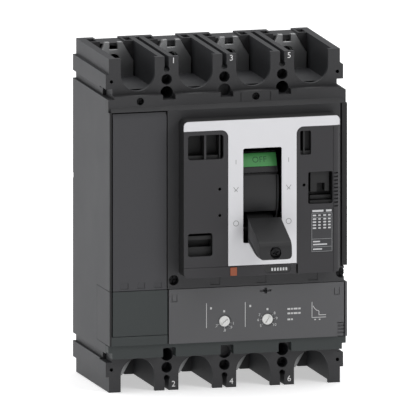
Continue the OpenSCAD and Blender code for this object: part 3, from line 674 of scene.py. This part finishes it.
class BREAKER_OT_spring(bpy.types.Operator):
    """Wound return spring of the push-to-trip button"""
    bl_idname = "breaker.spring"
    bl_label = "Button spring"

    def execute(self, context):
        low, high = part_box("button_spring")
        wire = 0.35
        coil = (high[0] - low[0]) / 2 / MM - wire
        centre_x, centre_z = (low[0] + high[0]) / 2 / MM, (low[2] + high[2]) / 2 / MM
        start, end = -high[1] / MM + wire, -low[1] / MM - wire
        turns, steps, sides = 6, 24, 10
        flat_turns = 0.75                # at each end, where the wire lies flat
        bm = bmesh.new()
        rings = []
        for i in range(turns * steps + 1):
            share = i / (turns * steps)
            angle = math.tau * turns * share
            rise = min(max((share * turns - flat_turns) / (turns - 2 * flat_turns), 0), 1)
            out = Vector((math.cos(angle), 0, math.sin(angle)))
            centre = Vector((centre_x, -(start + (end - start) * rise), centre_z)) + out * coil
            ring = []
            for k in range(sides):
                t = math.tau * k / sides
                rim = wire * (out * math.cos(t) + Vector((0, 1, 0)) * math.sin(t))
                ring.append(bm.verts.new((centre + rim) * MM))
            rings.append(ring)
        for ring, following in zip(rings, rings[1:]):
            for k in range(sides):
                j = (k + 1) % sides
                bm.faces.new((ring[k], ring[j], following[j], following[k]))
        bm.faces.new(rings[0][::-1])
        bm.faces.new(rings[-1])
        bmesh.ops.recalc_face_normals(bm, faces=bm.faces)
        spring = link(mesh_object("button_spring_coil", bm), "steel", "case")
        smooth_by_angle(spring, 50)
        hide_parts("button_spring")
        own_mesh(spring)
        return {"FINISHED"}


def terminal_numbers():
    """Odd figures above the phase poles and even ones below."""
    for i, x in enumerate((-39.7, 5.4, 50.4)):
        for z, figure in ((124.0, 2 * i + 1), (-123.0, 2 * i + 2)):
            lettering(f"terminal_number_{figure}", str(figure), x, z, 4.4, "ink", "case", TERMINAL_DEPTH)


def position_symbols():
    """On, tripped and off marks on both sides of the toggle window."""
    outlines = []
    for x in SYMBOL_X:
        outlines.append(box_outline(x, 49.2, SYMBOL_STROKE, 3.4))
        outlines += path_strokes([(x - 1.9, 30.0), (x, 27.4), (x + 1.9, 30.0)], SYMBOL_STROKE)
        outlines += path_strokes([(x - 1.2, 26.4), (x, 27.9), (x + 1.2, 26.4)], SYMBOL_STROKE)
        outlines += path_strokes(circle_points(x, 2.3, 2.0, 28), SYMBOL_STROKE)
    printed("position_symbols", outlines, "grey_ink", WHITE_DEPTH)


def trip_unit_prints():
    """Rules, captions and the trip curve on the unit's front, and the scales round the dials."""
    outlines = [box_outline(-17.1, -69.9, 0.45, 18.8), box_outline(13.1, -70.3, 0.45, 19.0)]
    # small captions over the scales, drawn as plain dashes
    for x, z in ((-13.6, -64.4), (17.0, -64.0), (-3.3, -67.1), (30.4, -67.0)):
        outlines.append(box_outline(x, z, 1.4, 1.6))
    for z, (x, end) in ((-67.6, (46, 59)), (-71.0, (46, 59)), (-75.6, (46, 51))):
        for width in (2.2, 1.4, 3.0, 1.8, 2.4, 1.2):
            if x + width > end:
                break
            outlines.append(box_outline(x + width / 2, z, width, 1.3))
            x += width + 0.6
    # time-current curve on its axes
    outlines += path_strokes([(65.1, -63.1), (65.1, -75.0), (76.0, -75.0)], 0.45)
    outlines += path_strokes([(65.9, -66.1), (67.2, -68.2), (68.8, -69.6), (70.5, -70.2)], 0.5)
    outlines += path_strokes([(70.5, -70.2), (70.5, -73.2), (76.0, -73.2)], 0.5)
    outlines += [box_outline(67.5, -76.6, 1.2, 0.9), box_outline(71.0, -76.6, 1.2, 0.9)]
    printed("trip_unit_marks", outlines, "pale_ink", UNIT_DEPTH)
    for dial, figures in DIAL_FIGURES.items():
        x = DIAL_X[dial]
        ticks = []
        for angle, figure in figures:
            c, s = math.cos(math.radians(angle)), math.sin(math.radians(angle))
            inner, outer = ((x + radius * c, DIAL_HEIGHT + radius * s) for radius in TICK_RADII)
            ticks.append(stroke(inner, outer, 0.35))
            lettering(f"{dial}_figure_{figure.strip('.')}", figure, x + FIGURE_RADII[0] * c,
                      DIAL_HEIGHT + FIGURE_RADII[1] * s, 2.1, "pale_ink", "case", UNIT_DEPTH)
        printed(dial + "_ticks", ticks, "pale_ink", UNIT_DEPTH)


def plate_prints():
    """Blank tables in place of ratings: rules and rows of plain dashes."""
    low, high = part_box("rating_plate")
    left, right = low[0] / MM + 0.6, high[0] / MM - 0.6
    bottom, top = low[2] / MM + 0.5, high[2] / MM - 0.5
    width = right - left
    table_top = top - 3.0
    rules = [box_outline((left + right) / 2, z, width, RULE_STROKE)
             for z in (table_top, table_top - 3.2, bottom + 9.6, bottom + 3.6, bottom)]
    rules += [box_outline(x, (bottom + table_top) / 2, RULE_STROKE, table_top - bottom) for x in (left, right)]
    dashes = [box_outline(left + width * 0.3, top - 1.2, width * 0.55, 1.5),
              box_outline(left + width * 0.84, top - 1.2, width * 0.28, 1.5)]
    for row in range(5):
        z = table_top - 1.6 - row * 2.3 - (0.5 if row else 0)
        for share, length in ((0.13, 2.6), (0.38, 1.8), (0.64, 2.2), (0.87, 2.0)):
            dashes.append(box_outline(left + width * share, z, length, 1.1))
    for z, share in ((bottom + 7.6, 0.35), (bottom + 5.4, 0.7), (bottom + 1.8, 0.45)):
        dashes.append(box_outline(left + 0.9 + width * share / 2, z, width * share, 1.0))
    printed("rating_plate_rules", rules, "rule_ink", PLATE_DEPTH)
    printed("rating_plate_rows", dashes, "plate_ink", PLATE_DEPTH)
    low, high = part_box("name_plate")
    middle = (low[2] + high[2]) / 2 / MM
    dashes = [box_outline(low[0] / MM + 6.2 + 2.2 * i, middle, 1.3, 2.3) for i in range(6)]
    printed("name_plate_row", dashes, "plate_ink", NAME_DEPTH)


class BREAKER_OT_prints(bpy.types.Operator):
    """Printed figures, switch-position symbols, scales and plate rules"""
    bl_idname = "breaker.prints"
    bl_label = "Printed marks"

    def execute(self, context):
        terminal_numbers()
        position_symbols()
        trip_unit_prints()
        plate_prints()
        return {"FINISHED"}


OPERATORS = (BREAKER_OT_stage, BREAKER_OT_cad_finishes, BREAKER_OT_case, BREAKER_OT_shells,
             BREAKER_OT_terminals, BREAKER_OT_toggle, BREAKER_OT_small_parts, BREAKER_OT_spring,
             BREAKER_OT_prints)


class BREAKER_PT_panel(bpy.types.Panel):
    """Buttons that build the breaker"""
    bl_label = "Molded case breaker"
    bl_space_type = "VIEW_3D"
    bl_region_type = "UI"
    bl_category = "Breaker"

    def draw(self, context):
        for operator in OPERATORS:
            self.layout.operator(operator.bl_idname)


CLASSES = (BreakerSettings,) + OPERATORS + (BREAKER_PT_panel,)


def register():
    for cls in CLASSES:
        bpy.utils.register_class(cls)
    bpy.types.Scene.breaker = bpy.props.PointerProperty(type=BreakerSettings)


def unregister():
    del bpy.types.Scene.breaker
    for cls in reversed(CLASSES):
        bpy.utils.unregister_class(cls)


def main():
    """Builds every piece in order."""
    register()
    for operator in OPERATORS:
        group, name = operator.bl_idname.split(".")
        getattr(getattr(bpy.ops, group), name)()


if __name__ == "__main__":
    main()
